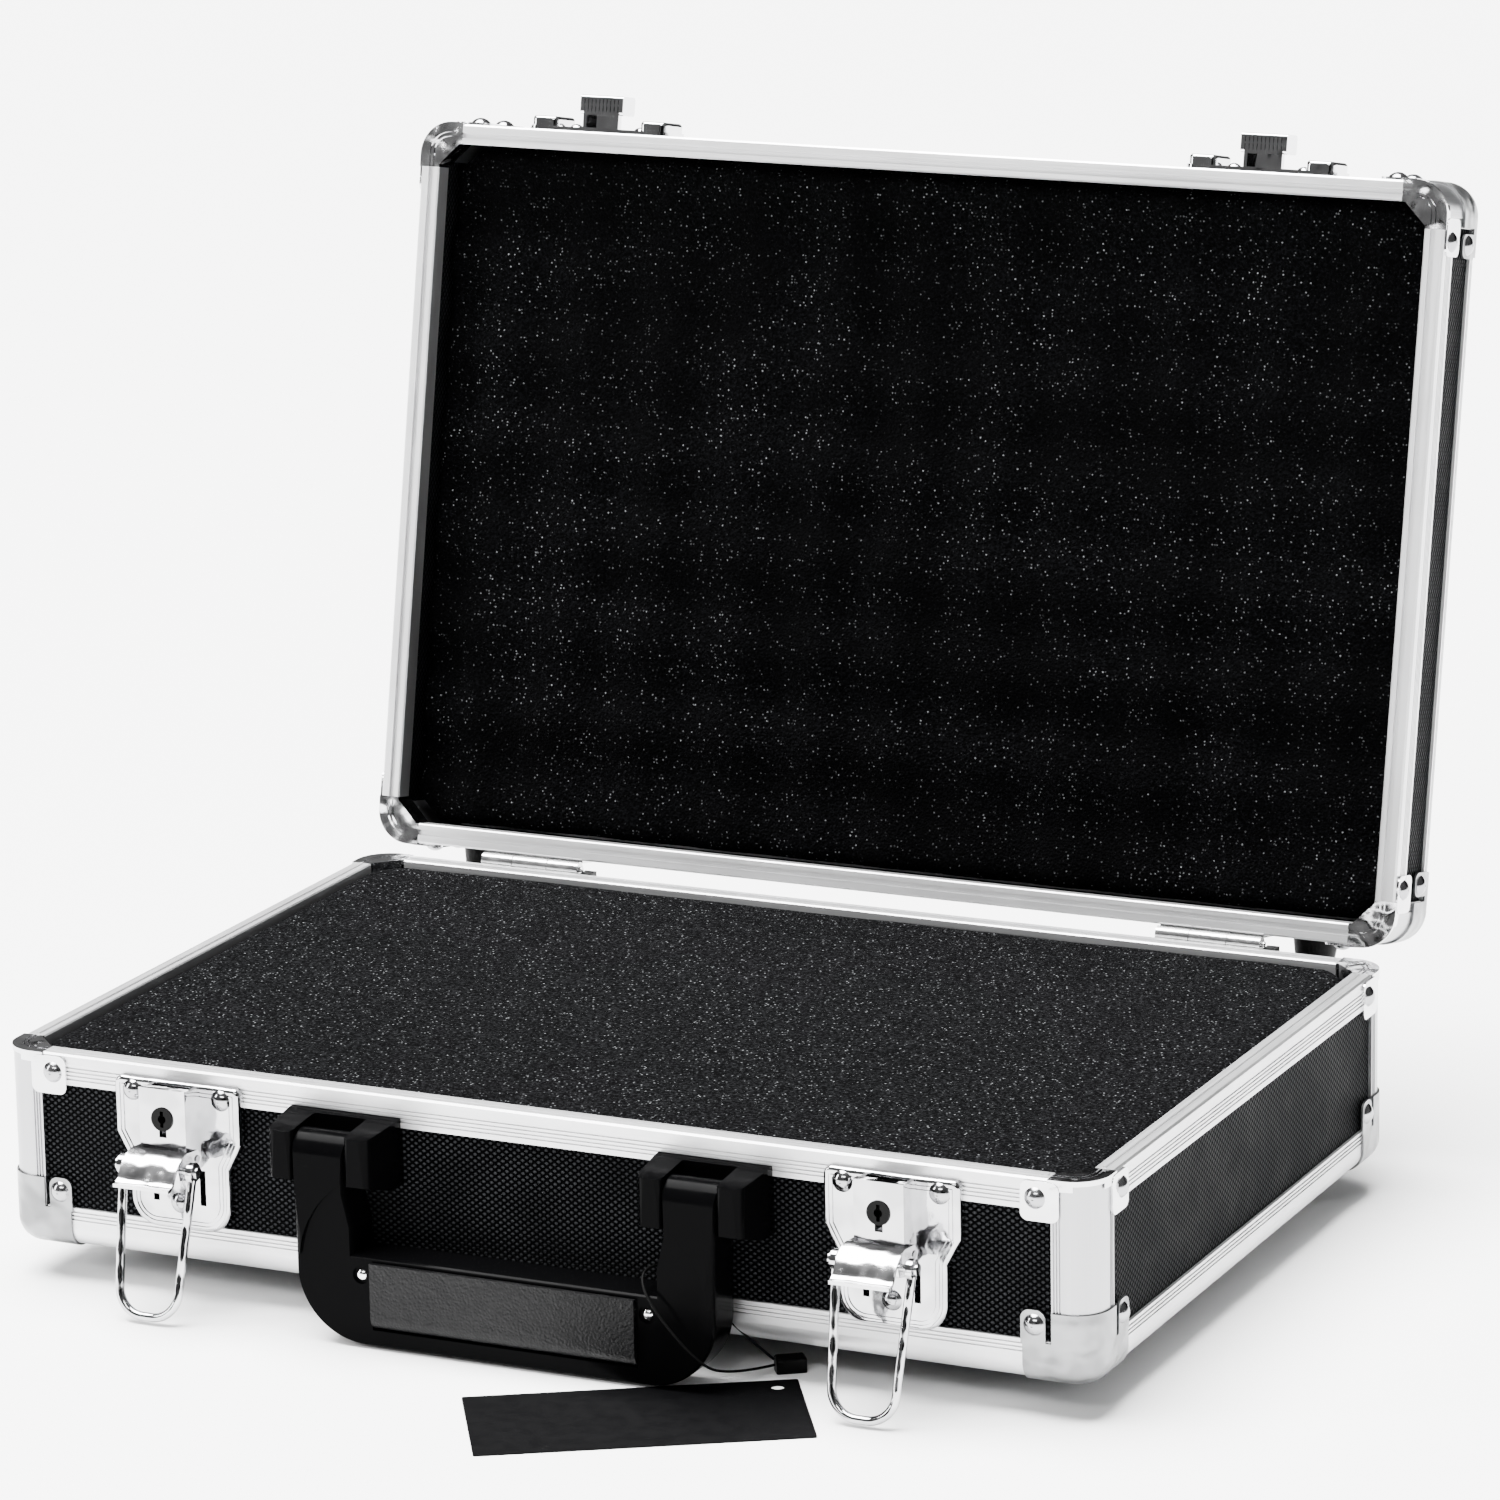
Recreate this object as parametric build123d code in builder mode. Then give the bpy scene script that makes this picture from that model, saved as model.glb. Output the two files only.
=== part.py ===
"""Aluminium-framed attache case, standing open on its feet.

Frame: +Z up, +X to the right seen from the front, -Y towards the front (handle and latches).
The origin is at the centre of the case's footprint, on the surface that the feet stand on.
The base pieces are drawn where they stand. The lid pieces are drawn shut, and are swung open
about the hinge pins as they are written.
"""

import math
import os

from build123d import *

# ---------------------------------------------------------------- driving dimensions (mm, degrees)
case_width = 355.0          # X, over the aluminium edges
case_depth = 237.0          # Y, over the aluminium edges
base_height = 61.0          # underside of the base to its rim
lid_height = 33.1           # rim of the lid to its outside
foot_height = 11.0
lid_open_angle = 101.5      # from shut to leaning back on the hinge stops
shut_gap = 0.3              # between the two rims when the lid is shut

panel_thickness = 4.0
frame_wall = 1.0            # how far the aluminium stands proud of the panels
rim_face = 9.5              # height of the rim profile's outer face
rim_width = 6.5             # width of the rim profile's mating face
rim_crown = 1.5             # thickness under the mating face
base_edge_face = 12.8       # height of the bottom edge profile's outer face
base_edge_radius = 6.5
lid_edge_face = 7.0
lid_edge_radius = 5.0
edge_foot = 6.0             # flat leg of an edge profile past its round
post_arm = 13.6             # visible width of a corner post on each side
post_radius = 10.0
post_seat = 12.5            # where the panels end inside a post
corner_end = 14.5           # where the rim profiles end, from the corner
inner_chamfer = 7.0         # cut corner of the rims' inner outline

groove_width = 0.6
groove_depth = 0.5

latch_x = 116.0
handle_x = 60.0
hinge_x = 119.0

# ---------------------------------------------------------------- levels and half sizes
half_w = case_width / 2
half_d = case_depth / 2
floor_level = foot_height                    # underside of the base
base_rim = floor_level + base_height
lid_rim = base_rim + shut_gap
lid_top = lid_rim + lid_height

hinge_offset = 2.9                           # hinge pin behind the rear face
hinge_y = half_d + hinge_offset
hinge_z = base_rim + 0.5
hinge_axis = Axis((0, hinge_y, hinge_z), (1, 0, 0))

FRONT = Vector(0, -1, 0)
BACK = Vector(0, 1, 0)
LEFT = Vector(-1, 0, 0)
RIGHT = Vector(1, 0, 0)
UP = Vector(0, 0, 1)
DOWN = Vector(0, 0, -1)

os.makedirs("parts", exist_ok=True)


def write(part, label):
    """Label a finished piece and write it as its own STEP file."""
    part.label = label
    export_step(part, f"parts/{label}.step")


def write_lid(part, label):
    """Swing a piece of the shut lid open about the hinge pins, then write it."""
    write(part.rotate(hinge_axis, -lid_open_angle), label)


def wall_plane(outward, rise, level, along=0.0):
    """Plane across a wall: local x points outward, local y along `rise`, origin on the outer face."""
    tangent = outward.cross(rise)
    origin = Vector(outward.X * half_w, outward.Y * half_d, level) + tangent * along
    return Plane(origin=origin, x_dir=outward, z_dir=tangent)


def face_plane(outward, x, level):
    """Plane on a front or rear face: local x is +X or -X, local y is up, the normal points outward."""
    x_dir = UP.cross(outward)
    return Plane(origin=(x, outward.Y * half_d, level), x_dir=x_dir, z_dir=outward)


def run_length(outward, corner):
    """Length of a straight piece on one side that ends `corner` short of both corners."""
    return (case_width if outward.Y else case_depth) - 2 * corner


# ---------------------------------------------------------------- panels and aluminium profiles
def side_panel(outward, rise, skin_level, rim_level, edge_radius):
    """Laminated panel standing between an edge profile and a rim profile."""
    low = edge_radius - 0.5
    high = abs(rim_level - skin_level) - rim_crown
    with BuildPart() as panel:
        with BuildSketch(wall_plane(outward, rise, skin_level)):
            with Locations((-frame_wall - panel_thickness / 2, (low + high) / 2)):
                Rectangle(panel_thickness, high - low)
        extrude(amount=run_length(outward, post_seat) / 2, both=True)
    return panel.part


def flat_panel(low_level):
    """Bottom or top panel, held between the edge profiles and inside the side panels."""
    inset = 2 * (frame_wall + panel_thickness + 1.0)
    with BuildPart() as panel:
        with BuildSketch(Plane.XY.offset(low_level)):
            Rectangle(case_width - inset, case_depth - inset)
        extrude(amount=panel_thickness)
    return panel.part


def rim_profile(outward, rise, rim_level, tongue):
    """Rim extrusion: channel over the panel's edge, grooved outside, with a tongue or its groove."""
    seat = frame_wall + panel_thickness
    groove_levels = [-4.0, -5.2, -6.4, -7.6]
    tongue_centre = -rim_width / 2 - 0.4
    with BuildPart() as rim:
        with BuildSketch(wall_plane(outward, rise, rim_level)):
            with BuildLine():
                Polyline(
                    (0, -0.6), (0, -rim_face), (-frame_wall, -rim_face), (-frame_wall, -rim_crown),
                    (-seat, -rim_crown), (-seat, -7.0), (-rim_width, -7.0), (-rim_width, -0.4),
                    (-rim_width + 0.4, 0), (-0.6, 0), (0, -0.6),
                )
            make_face()
            with Locations(*[(0, level) for level in groove_levels]):
                Rectangle(2 * groove_depth, groove_width, mode=Mode.SUBTRACT)
            if not tongue:
                with Locations((tongue_centre, -0.2)):
                    Rectangle(1.8, 1.6, mode=Mode.SUBTRACT)
        extrude(amount=run_length(outward, corner_end) / 2, both=True)
        if tongue:
            with BuildSketch(wall_plane(outward, rise, rim_level)):
                with Locations((tongue_centre, 0.1)):
                    Rectangle(1.0, 0.8)
            extrude(amount=run_length(outward, corner_end + 1) / 2, both=True)
    return rim.part


def edge_profile(outward, rise, skin_level, face, radius, groove_count):
    """Edge extrusion: quarter-round nose with a socket for each of the two panels it joins."""
    socket = radius - 0.5
    with BuildPart() as edge:
        with BuildSketch(wall_plane(outward, rise, skin_level)):
            with BuildLine():
                Polyline(
                    (-radius, 0), (-radius - edge_foot, 0), (-radius - edge_foot, frame_wall),
                    (-socket, frame_wall), (-socket, socket), (-frame_wall, socket),
                    (-frame_wall, face), (0, face), (0, radius),
                )
                RadiusArc((0, radius), (-radius, 0), radius)
            make_face()
            with Locations(*[(0, face - 1.2 - 1.2 * step) for step in range(groove_count)]):
                Rectangle(2 * groove_depth, groove_width, mode=Mode.SUBTRACT)
        extrude(amount=run_length(outward, corner_end - 0.6) / 2, both=True)
    return edge.part


def edge_frame(rise, skin_level, face, radius, groove_count):
    """The four edge extrusions of one shell, as four separate solids."""
    with BuildPart() as frame:
        for outward in (FRONT, BACK, LEFT, RIGHT):
            add(edge_profile(outward, rise, skin_level, face, radius, groove_count))
    return frame.part


def four_corners(corner):
    """Repeat a right front corner piece at the other three corners."""
    with BuildPart() as group:
        add(corner)
        mirror(about=Plane.YZ)
        mirror(about=Plane.XZ)
    return group.part


def corner_posts(low, high):
    """Rounded corner extrusions with fine grooves beside the panels, inner corner cut off."""
    seat_face = frame_wall + panel_thickness
    groove_steps = [0.9, 1.8, 2.7]
    with BuildPart() as post:
        with BuildSketch(Plane.XY.offset(low)):
            with BuildLine():
                Polyline(
                    (half_w - post_radius, -half_d), (half_w - post_arm, -half_d),
                    (half_w - post_arm, -half_d + frame_wall), (half_w - post_seat, -half_d + frame_wall),
                    (half_w - post_seat, -half_d + seat_face), (half_w - seat_face, -half_d + post_seat),
                    (half_w - frame_wall, -half_d + post_seat), (half_w - frame_wall, -half_d + post_arm),
                    (half_w, -half_d + post_arm), (half_w, -half_d + post_radius),
                )
                RadiusArc((half_w, -half_d + post_radius), (half_w - post_radius, -half_d), post_radius)
            make_face()
            for step in groove_steps:
                with Locations((half_w - post_arm + step, -half_d)):
                    Rectangle(groove_width, 2 * groove_depth, mode=Mode.SUBTRACT)
                with Locations((half_w, -half_d + post_arm - step)):
                    Rectangle(2 * groove_depth, groove_width, mode=Mode.SUBTRACT)
        extrude(amount=high - low)
    return four_corners(post.part)


# ---------------------------------------------------------------- pressed corner pieces and rivets
cap_proud = 0.6             # how far a rim corner stands outside the profiles
cap_band = 3.2              # height of its outer band
bead_insets = [2.7, 4.1]    # grooves of its beaded top, from the aluminium's outer face
bead_gap = 0.6
flap_thickness = 0.8
flap_near = 10.8            # flap edges, from the corner
flap_far = 22.6
flap_drop = 12.6            # bottom of a flap, from the rim
shell_proud = 0.7           # how far a ball corner stands outside the profiles
shell_reach = 23.0          # how far a ball corner covers an edge profile
tab_width = 8.0
rivet_radius = 3.2
rivet_height = 1.7


def rim_corners(rim_level, sign):
    """Chrome corner over the rim profiles' ends: band, beaded top, two riveted flaps, inner flap."""
    outer = RectangleRounded(case_width + 2 * cap_proud, case_depth + 2 * cap_proud, post_radius + 1)
    inner = case_width / 2 - rim_width, case_depth / 2 - rim_width
    window = Pos(half_w - corner_end / 2 + 1, -half_d + corner_end / 2 - 1) * Rectangle(
        corner_end + 2, corner_end + 2)
    with BuildPart() as corner:
        with BuildSketch(Plane.XY.offset(rim_level)):
            add(outer)
            with BuildSketch(mode=Mode.SUBTRACT) as opening:
                Rectangle(2 * inner[0], 2 * inner[1])
                chamfer(opening.vertices(), inner_chamfer)
            add(window, mode=Mode.INTERSECT)
        extrude(amount=-sign * rim_crown)
        with BuildSketch(Plane.XY.offset(rim_level)):
            add(outer)
            Rectangle(case_width, case_depth, mode=Mode.SUBTRACT)
            RectangleRounded(case_width, case_depth, post_radius, mode=Mode.SUBTRACT)
            add(window, mode=Mode.INTERSECT)
        extrude(amount=-sign * cap_band)
        for inset in bead_insets:
            with BuildSketch(Plane.XY.offset(rim_level)):
                RectangleRounded(case_width - 2 * inset, case_depth - 2 * inset, post_radius - inset)
                shrunk = inset + bead_gap
                RectangleRounded(case_width - 2 * shrunk, case_depth - 2 * shrunk, post_radius - shrunk,
                                 mode=Mode.SUBTRACT)
                add(window, mode=Mode.INTERSECT)
            extrude(amount=-sign * 0.5, mode=Mode.SUBTRACT)
        with BuildSketch(Plane.XY.offset(rim_level)):
            with BuildLine():
                Polyline(
                    (inner[0], -inner[1] + inner_chamfer), (inner[0] - inner_chamfer, -inner[1]),
                    (inner[0] - inner_chamfer + 1.2, -inner[1]), (inner[0], -inner[1] + inner_chamfer - 1.2),
                    close=True,
                )
            make_face()
        extrude(amount=-sign * 9.0)
        flap_mid = (flap_near + flap_far) / 2
        flap_level = rim_level - sign * (flap_drop + 0.8) / 2
        for plane in (
            Plane(origin=(half_w - flap_mid, -half_d, flap_level), x_dir=(1, 0, 0), z_dir=FRONT),
            Plane(origin=(half_w, -half_d + flap_mid, flap_level), x_dir=(0, 1, 0), z_dir=RIGHT),
        ):
            with BuildSketch(plane):
                RectangleRounded(flap_far - flap_near, flap_drop - 0.8, 2.4)
            extrude(amount=flap_thickness)
    return four_corners(corner.part)


def ball_corners(skin_level, sign, reach_up, edge_cover, edge_radius):
    """Pressed corner shell round an outer corner, with two riveted tabs slit off its flanks."""
    outer_r = post_radius + shell_proud
    nose = edge_radius + shell_proud
    tab_top = reach_up + 0.8
    depth = base_height / 2
    with BuildPart() as shell:
        with BuildSketch(Plane.XY.offset(skin_level - sign * shell_proud)):
            with Locations((half_w + shell_proud - shell_reach / 2, -half_d - shell_proud + shell_reach / 2)):
                Rectangle(shell_reach, shell_reach)
        extrude(amount=sign * (reach_up + shell_proud))
        corner_edge = shell.edges().filter_by(Axis.Z).sort_by(Axis.X)[-2:].sort_by(Axis.Y)[0]
        fillet(corner_edge, outer_r)
        skin_face = shell.faces().filter_by(Axis.Z).sort_by(Axis.Z)[0 if sign > 0 else -1]
        outline = [
            edge for edge in skin_face.edges()
            if edge.center().X > half_w - 1 or edge.center().Y < -half_d + 1
            or edge.geom_type == GeomType.CIRCLE
        ]
        fillet(outline, nose)
        with BuildPart(mode=Mode.SUBTRACT) as core:
            with BuildSketch(Plane.XY.offset(skin_level)):
                RectangleRounded(case_width, case_depth, post_radius)
            extrude(amount=sign * depth)
            fillet(core.faces().filter_by(Axis.Z).sort_by(Axis.Z)[0 if sign > 0 else -1].edges(), edge_radius)
        for plane, side in (
            (Plane(origin=(half_w - shell_reach, -half_d, skin_level), x_dir=(1, 0, 0), z_dir=FRONT), 1),
            (Plane(origin=(half_w, -half_d + shell_reach, skin_level), x_dir=(0, 1, 0), z_dir=RIGHT), -1),
        ):
            with BuildSketch(plane):
                with Locations((side * (tab_width + 0.8) / 2, sign * (edge_cover + 20))):
                    Rectangle(tab_width + 2.4, 40)
            extrude(amount=4 * shell_proud, both=True, mode=Mode.SUBTRACT)
            with BuildSketch(plane):
                with Locations((side * tab_width / 2, sign * (edge_cover + tab_top) / 2)):
                    RectangleRounded(tab_width - 0.4, tab_top - edge_cover - 0.6, 2.8)
                with Locations((side * tab_width / 2, sign * (edge_cover + 0.9))):
                    Rectangle(tab_width - 0.4, 3.0)
            extrude(amount=shell_proud)
    return four_corners(shell.part)


def dome(plane, radius, height):
    """Round rivet head: a cap of a ball standing on a plane."""
    with BuildPart() as head:
        with BuildSketch(Plane(origin=plane.origin, x_dir=plane.x_dir, z_dir=plane.x_dir.cross(plane.z_dir))):
            with BuildLine():
                Line((0, 0), (radius, 0))
                ball = (radius**2 + height**2) / (2 * height)
                RadiusArc((radius, 0), (0, height), -ball)
                Line((0, height), (0, 0))
            make_face()
        revolve(axis=Axis(plane.origin, plane.z_dir))
    return head.part


def rivets(planes, radius=rivet_radius, height=rivet_height):
    """A set of identical rivet heads, one on each plane."""
    with BuildPart() as group:
        for plane in planes:
            add(dome(plane, radius, height))
    return group.part


def corner_rivet_planes(flap_level, flap_rise, tab_level):
    """Where the corner pieces of one shell are riveted: two flaps and two tabs at each corner."""
    flap_at = (flap_near + flap_far) / 2 + 1.4
    tab_at = shell_reach - shell_proud - tab_width / 2 + 0.4
    planes = []
    for at, level, proud in ((flap_at, flap_level + flap_rise, flap_thickness), (tab_at, tab_level, shell_proud)):
        for sx in (-1, 1):
            for sy in (-1, 1):
                planes.append(Plane(origin=(sx * (half_w - at), sy * (half_d + proud), level),
                                    x_dir=(1, 0, 0), z_dir=(0, sy, 0)))
                planes.append(Plane(origin=(sx * (half_w + proud), sy * (half_d - at), level),
                                    x_dir=(0, 1, 0), z_dir=(sx, 0, 0)))
    return planes


# ---------------------------------------------------------------- base shell
write(flat_panel(floor_level + frame_wall), "base_bottom_panel")
for side_name, side in (("front", FRONT), ("back", BACK), ("left", LEFT), ("right", RIGHT)):
    write(side_panel(side, UP, floor_level, base_rim, base_edge_radius), f"base_{side_name}_panel")
    write(rim_profile(side, UP, base_rim, tongue=True), f"base_rim_{side_name}")
write(edge_frame(UP, floor_level, base_edge_face, base_edge_radius, 3), "base_edge_profiles")
write(corner_posts(floor_level + base_edge_radius, base_rim - rim_crown), "base_corner_posts")
write(rim_corners(base_rim, 1), "base_rim_corners")
base_tab_level = floor_level + 17.6
base_ball = ball_corners(floor_level, 1, 21.5, base_edge_face - 0.4, base_edge_radius)
write(base_ball, "base_ball_corners")
write(rivets(corner_rivet_planes(base_rim, -5.8, base_tab_level)), "base_corner_rivets")

# ---------------------------------------------------------------- lid shell
write_lid(flat_panel(lid_top - frame_wall - panel_thickness), "lid_top_panel")
for side_name, side in (("front", FRONT), ("back", BACK), ("left", LEFT), ("right", RIGHT)):
    write_lid(side_panel(side, DOWN, lid_top, lid_rim, lid_edge_radius), f"lid_{side_name}_panel")
    write_lid(rim_profile(side, DOWN, lid_rim, tongue=False), f"lid_rim_{side_name}")
write_lid(edge_frame(DOWN, lid_top, lid_edge_face, lid_edge_radius, 2), "lid_edge_profiles")
write_lid(corner_posts(lid_rim + rim_crown, lid_top - lid_edge_radius), "lid_corner_posts")
write_lid(rim_corners(lid_rim, -1), "lid_rim_corners")
lid_ball = ball_corners(lid_top, -1, 16.0, lid_edge_face - 0.4, lid_edge_radius)
write_lid(lid_ball, "lid_ball_corners")
write_lid(rivets(corner_rivet_planes(lid_rim, 5.8, lid_top - 11.6)), "lid_corner_rivets")

# ---------------------------------------------------------------- foam
foam_gap = 0.5
foam_x = half_w - rim_width - foam_gap
foam_y = half_d - rim_width - foam_gap
foam_below_rim = 1.0        # base foam surface under the rim
lid_foam_recess = 5.0       # lid foam surface inside the lid's rim


def foam_block(low, high):
    """Foam insert with cut corners that clear the rim corners."""
    with BuildPart() as foam:
        with BuildSketch(Plane.XY.offset(low)) as outline:
            Rectangle(2 * foam_x, 2 * foam_y)
            chamfer(outline.vertices(), inner_chamfer + 1.4)
        extrude(amount=high - low)
    return foam.part


write(foam_block(floor_level + frame_wall + panel_thickness, base_rim - foam_below_rim), "base_foam")
write_lid(foam_block(lid_rim + lid_foam_recess, lid_top - frame_wall - panel_thickness), "lid_foam")

# ---------------------------------------------------------------- feet
foot_radius = 8.5
foot_tip_radius = 5.8
rear_foot_radius = 7.5
rear_foot_x = 146.5


def feet(planes, radius, height):
    """Tapered rubber feet, each standing on its plane."""
    with BuildPart() as group:
        for plane in planes:
            with BuildSketch(plane):
                Circle(radius)
            with BuildSketch(plane.offset(height)):
                Circle(foot_tip_radius)
            loft()
    return group.part


bottom_feet = [
    Plane(origin=(x, y, floor_level + frame_wall), x_dir=(1, 0, 0), z_dir=DOWN)
    for x in (-148, 148) for y in (-78, 78)
]
rear_panel_y = half_d - frame_wall
base_rear_feet = [Plane(origin=(x, rear_panel_y, floor_level + 30), x_dir=(1, 0, 0), z_dir=BACK)
                  for x in (-rear_foot_x, rear_foot_x)]
lid_rear_feet = [Plane(origin=(x, rear_panel_y, lid_rim + 17.8), x_dir=(1, 0, 0), z_dir=BACK)
                 for x in (-rear_foot_x, rear_foot_x)]
with BuildPart() as base_feet:
    add(feet(bottom_feet, foot_radius, foot_height + frame_wall))
    add(feet(base_rear_feet, rear_foot_radius, 11.0))
write(base_feet.part, "base_feet")
write_lid(feet(lid_rear_feet, rear_foot_radius, 11.0), "lid_rear_feet")

# ---------------------------------------------------------------- hinges
barrel_radius = 2.4
hinge_pin_radius = 0.9
hinge_pin_clearance = 0.05
leaf_thickness = 1.0
leaf_drop = 9.0             # far edge of a leaf, from the pin
hinge_base_knuckles = [(-19.0, -8.0), (5.0, 16.0)]      # along X, from the middle of a hinge
hinge_lid_knuckles = [(-7.7, 4.7)]


def hinge_leaves(knuckles, sign):
    """Sheet leaves riveted to a rim's outer face, rolled into knuckles round the pin."""
    with BuildPart() as leaves:
        for middle in (-hinge_x, hinge_x):
            face = Plane(origin=(middle, half_d, hinge_z), x_dir=(-1, 0, 0), z_dir=BACK)
            with BuildSketch(face):
                with Locations((1.5, -sign * (leaf_drop + 1.8) / 2)):
                    Rectangle(35.0, leaf_drop - 1.8)
                for start, end in knuckles:
                    with Locations((-(start + end) / 2, -sign * 1.8)):
                        Rectangle(end - start, 2.0)
            extrude(amount=leaf_thickness)
            for start, end in knuckles:
                with BuildSketch(Plane(origin=(middle + start, hinge_y, hinge_z), x_dir=(0, 1, 0), z_dir=RIGHT)):
                    Circle(barrel_radius)
                extrude(amount=end - start)
            with BuildSketch(Plane(origin=(middle - 20, hinge_y, hinge_z), x_dir=(0, 1, 0), z_dir=RIGHT)):
                Circle(hinge_pin_radius + hinge_pin_clearance)
            extrude(amount=40, mode=Mode.SUBTRACT)
    return leaves.part


write(hinge_leaves(hinge_base_knuckles, 1), "hinge_base_leaves")
write_lid(hinge_leaves(hinge_lid_knuckles, -1), "hinge_lid_leaves")

with BuildPart() as hinge_pins:
    for middle in (-hinge_x, hinge_x):
        with BuildSketch(Plane(origin=(middle - 19.0, hinge_y, hinge_z), x_dir=(0, 1, 0), z_dir=RIGHT)):
            Circle(hinge_pin_radius)
        extrude(amount=36.0)
write(hinge_pins.part, "hinge_pins")

with BuildPart() as hinge_stops:
    for middle in (-hinge_x, hinge_x):
        with BuildSketch(Plane.XY.offset(hinge_z - leaf_drop)):
            with Locations((middle + 19.2, half_d + 2.4)):
                Rectangle(4.0, 4.8)
        extrude(amount=leaf_drop - 0.6)
write(hinge_stops.part, "hinge_stops")

# ---------------------------------------------------------------- latches
plate_proud = 2.5           # plate face in front of the aluminium
flute_insets = [1.9, 3.1]
plate_low = floor_level + 11.5
plate_high = floor_level + 57.5
box_half = 7.75
box_wall = 1.2
box_low = floor_level + 39.5
box_high = floor_level + 57.0
box_front = half_d + 11.0
lever_pin = (-half_d - 7.5, floor_level + 36.3)         # y, z
lever_pin_radius = 1.2
key_level = floor_level + 48.6
plug_radius = 3.65
plug_clearance = 0.06
bail_pivot = (-half_d - 14.5, floor_level + 34.5)       # y, z
bail_pin_radius = 1.1
bail_wire = 1.35
bail_lean = 12.9            # degrees outward from straight down
bail_half = 9.6             # half width at the far end, to the wire's centre
bail_radius = 8.5


def latch_plate(x):
    """Pressed striker plate with a shouldered outline, return flange and two slots."""
    with BuildPart() as plate:
        with BuildSketch(face_plane(FRONT, x, 0)) as outline:
            with BuildLine():
                Polyline(
                    (0, plate_low), (-17.0, plate_low), (-17.0, plate_low + 20.5), (-21.3, plate_low + 28.5),
                    (-21.3, plate_high), (0, plate_high),
                )
                mirror(about=Plane.YZ)
            make_face()
            fillet(outline.vertices().group_by(Axis.Y)[0], 9.0)
            fillet(outline.vertices().group_by(Axis.Y)[-1], 2.5)
        extrude(amount=plate_proud)
        front = plate.faces().sort_by(Axis.Y)[0]
        fillet(front.edges(), 1.4)
        with BuildSketch(face_plane(FRONT, x, 0)) as hollow:
            add(outline.sketch_local)
            offset(amount=-1.2, mode=Mode.REPLACE)
        extrude(amount=plate_proud - 1.0, mode=Mode.SUBTRACT)
        for inset in flute_insets:
            with BuildSketch(face_plane(FRONT, x, 0).offset(plate_proud)):
                add(outline.sketch_local)
                offset(amount=-inset, mode=Mode.REPLACE)
                with BuildSketch(mode=Mode.SUBTRACT):
                    add(outline.sketch_local)
                    offset(amount=-inset - 0.5, mode=Mode.REPLACE)
            extrude(amount=-0.35, mode=Mode.SUBTRACT)
        with BuildSketch(face_plane(FRONT, x, 0)):
            with Locations((-8.0, plate_low + 14.0), (8.0, plate_low + 14.0)):
                Rectangle(2.0, 11.0)
        extrude(amount=plate_proud + 1, mode=Mode.SUBTRACT)
        with BuildSketch(face_plane(FRONT, x, 0)):
            add(outline.sketch_local)
            add(hollow.sketch_local, mode=Mode.SUBTRACT)
            with Locations((0, base_rim - rim_face + 24.8)):
                Rectangle(60, 50, mode=Mode.SUBTRACT)
            with Locations((0, floor_level)):
                Rectangle(60, 2 * base_edge_face + 0.4, mode=Mode.SUBTRACT)
        extrude(amount=-frame_wall)
    return plate.part


def lock_box(x):
    """Open-topped lock housing on the plate; its cheeks reach down to carry the lever pin."""
    plate_face = -half_d - plate_proud
    with BuildPart() as box:
        with BuildSketch(Plane(origin=(x - box_half, 0, 0), x_dir=(0, 1, 0), z_dir=RIGHT)):
            with BuildLine():
                Polyline(
                    (plate_face, box_high), (-box_front, box_high), (-box_front, box_low - 1.0),
                    (-box_front, box_low - 1.5), (lever_pin[0] - 2.6, lever_pin[1]),
                    (lever_pin[0] - 2.0, lever_pin[1] - 3.2), (lever_pin[0] + 2.6, lever_pin[1] - 4.4),
                    (plate_face, lever_pin[1] - 4.4), close=True,
                )
            make_face()
        extrude(amount=2 * box_half)
        with BuildSketch(Plane.XY):
            with Locations((x, plate_face / 2 - box_front / 2 + box_wall / 2)):
                Rectangle(2 * (box_half - box_wall), box_front + plate_face - box_wall + 0.01)
        extrude(amount=box_high + 1, mode=Mode.SUBTRACT)
        with BuildSketch(Plane.XY.offset(box_high)):
            with Locations((x, -box_front + 1.4)):
                Rectangle(2 * box_half, 2.8)
        extrude(amount=0.8)
        with BuildSketch(face_plane(FRONT, x, 0)):
            with Locations((0, key_level)):
                Circle(plug_radius + plug_clearance)
            with Locations((0, key_level - 3.7)):
                Rectangle(2.5, 4.0)
        extrude(amount=box_front, mode=Mode.SUBTRACT)
        with BuildSketch(Plane(origin=(x - box_half - 1, 0, 0), x_dir=(0, 1, 0), z_dir=RIGHT)):
            with Locations(lever_pin):
                Circle(lever_pin_radius)
        extrude(amount=2 * box_half + 2, mode=Mode.SUBTRACT)
    return box.part


def lock_plug(x):
    """Key barrel with its keyhole and the cam behind it."""
    with BuildPart() as plug:
        with BuildSketch(Plane(origin=(x, -box_front - 0.4, key_level), x_dir=(1, 0, 0), z_dir=BACK)):
            Circle(plug_radius)
        extrude(amount=6.0)
        with BuildSketch(Plane(origin=(x, -box_front - 0.4, key_level), x_dir=(1, 0, 0), z_dir=BACK)):
            Circle(1.3)
            Rectangle(1.1, 5.0)
        extrude(amount=2.5, mode=Mode.SUBTRACT)
        with BuildSketch(Plane(origin=(x, -box_front + 5.6, key_level), x_dir=(1, 0, 0), z_dir=BACK)):
            with Locations((0, 1.8)):
                SlotOverall(8.4, 4.4, rotation=90)
        extrude(amount=1.2)
    return plug.part


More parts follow.
